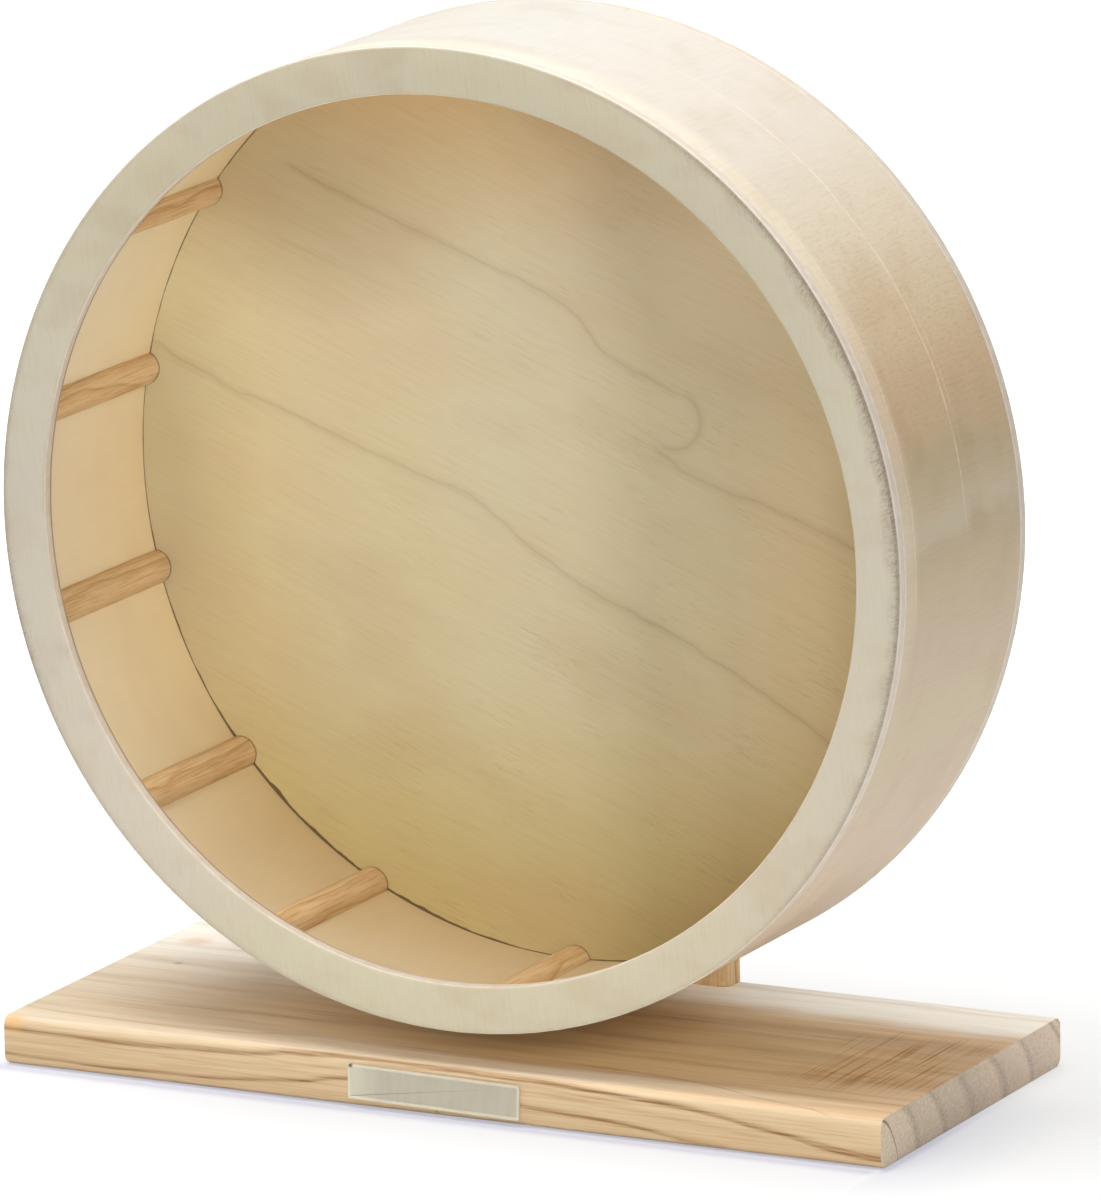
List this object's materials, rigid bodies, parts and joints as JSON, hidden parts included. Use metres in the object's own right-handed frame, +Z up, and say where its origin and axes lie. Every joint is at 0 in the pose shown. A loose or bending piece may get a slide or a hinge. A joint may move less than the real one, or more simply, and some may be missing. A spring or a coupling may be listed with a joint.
{
  "type": "rodent exercise wheel",
  "caption": "Wooden exercise wheel for a small rodent: an open plywood drum with cross rungs that spins freely on a ball bearing hub behind it, on an upright post and a flat base board.",
  "frame": {"origin": "on the base board's underside, straight under the axle, midway between the board's long edges", "axes": "+Z up; -Y towards the wheel's open front; +X to the right as seen from the front; the axle runs along Y"},
  "size_m": [0.2735, 0.1283, 0.294],
  "materials": {
    "pine_board": "planed, bare",
    "post_wood": "planed, bare",
    "ring_plywood": "sanded, bare",
    "bent_veneer": "sanded, bare",
    "disc_plywood": "sanded, bare",
    "rung_pine": "turned, bare",
    "hub_wood": "turned, bare",
    "label_strip": "satin, bare",
    "zinc_steel": "zinc plated",
    "bearing_steel": "ground",
    "nylon_cage": "moulded"
  },
  "bodies": {
    "stand": {"base_board": "pine_board", "upright_post": "post_wood", "post_screws": "zinc_steel", "label_plate": "label_strip", "axle_bolt": "zinc_steel", "head_shim": "zinc_steel", "axle_washer": "zinc_steel", "axle_nut": "zinc_steel", "post_spacer": "zinc_steel", "front_inner_race": "bearing_steel", "rear_inner_race": "bearing_steel"},
    "wheel": {"front_ring": "ring_plywood", "rim_skin": "bent_veneer", "back_disc": "disc_plywood", "rung_01": "rung_pine", "rung_02": "rung_pine", "rung_03": "rung_pine", "rung_04": "rung_pine", "rung_05": "rung_pine", "rung_06": "rung_pine", "rung_07": "rung_pine", "rung_08": "rung_pine", "rung_09": "rung_pine", "rung_10": "rung_pine", "rung_11": "rung_pine", "rung_12": "rung_pine", "rung_13": "rung_pine", "rung_14": "rung_pine", "rung_15": "rung_pine", "hub_block": "hub_wood", "front_outer_race": "bearing_steel", "rear_outer_race": "bearing_steel", "bearing_shields": "bearing_steel", "bearing_cover": "zinc_steel", "cover_screws": "zinc_steel"},
    "ball_trains": {"front_balls": "bearing_steel", "front_cage": "nylon_cage", "rear_balls": "bearing_steel", "rear_cage": "nylon_cage"}
  },
  "joints": [
    {"name": "wheel_spin", "type": "hinge", "parent": "stand", "child": "wheel", "pos_m": [0, 0.0375, 0.159], "axis": [0, 1, 0], "continuous": true},
    {"name": "ball_train_spin", "type": "hinge", "parent": "stand", "child": "ball_trains", "pos_m": [0, 0.0375, 0.159], "axis": [0, 1, 0], "continuous": true}
  ],
  "couplings": [
    {"joint": "ball_train_spin", "follows": "wheel_spin", "ratio": 0.632}
  ]
}
